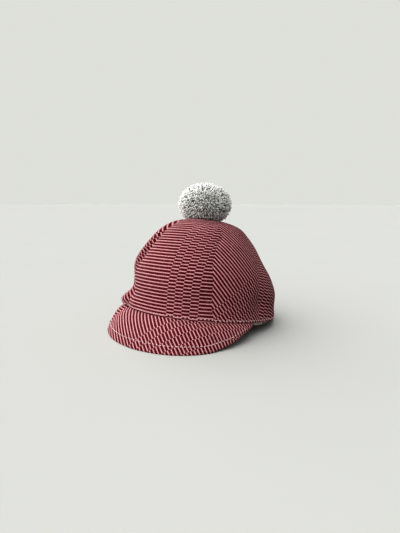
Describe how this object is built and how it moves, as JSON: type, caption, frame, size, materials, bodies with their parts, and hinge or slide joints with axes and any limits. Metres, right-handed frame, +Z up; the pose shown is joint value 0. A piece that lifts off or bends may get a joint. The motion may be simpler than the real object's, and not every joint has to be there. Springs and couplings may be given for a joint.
{
  "type": "soft peaked cap with pompom",
  "caption": "Soft woven panel cap with a short turned-down peak, an off-white inner band and a wool pompom, standing by itself.",
  "frame": {"origin": "on the surface that the cap stands on, under the middle of its box", "axes": "+Z up, peak towards -Y, nape towards +Y, wearer's left towards +X"},
  "size_m": [0.1886, 0.229, 0.1812],
  "materials": {
    "crown_cloth": "ribbed weave of deep red and pink stripes in shifted blocks, matt",
    "peak_cloth": "the same ribbed weave turned to run down the peak, matt",
    "band_cloth": "plain off-white cotton, matt",
    "wool": "pale grey wool yarn with cut ends, matt"
  },
  "bodies": {
    "root": {"front_panel": "crown_cloth", "side_panel_left": "crown_cloth", "back_panel_left": "crown_cloth", "back_panel_right": "crown_cloth", "side_panel_right": "crown_cloth", "peak": "peak_cloth", "inner_band": "band_cloth", "pompom": "wool"}
  },
  "joints": []
}
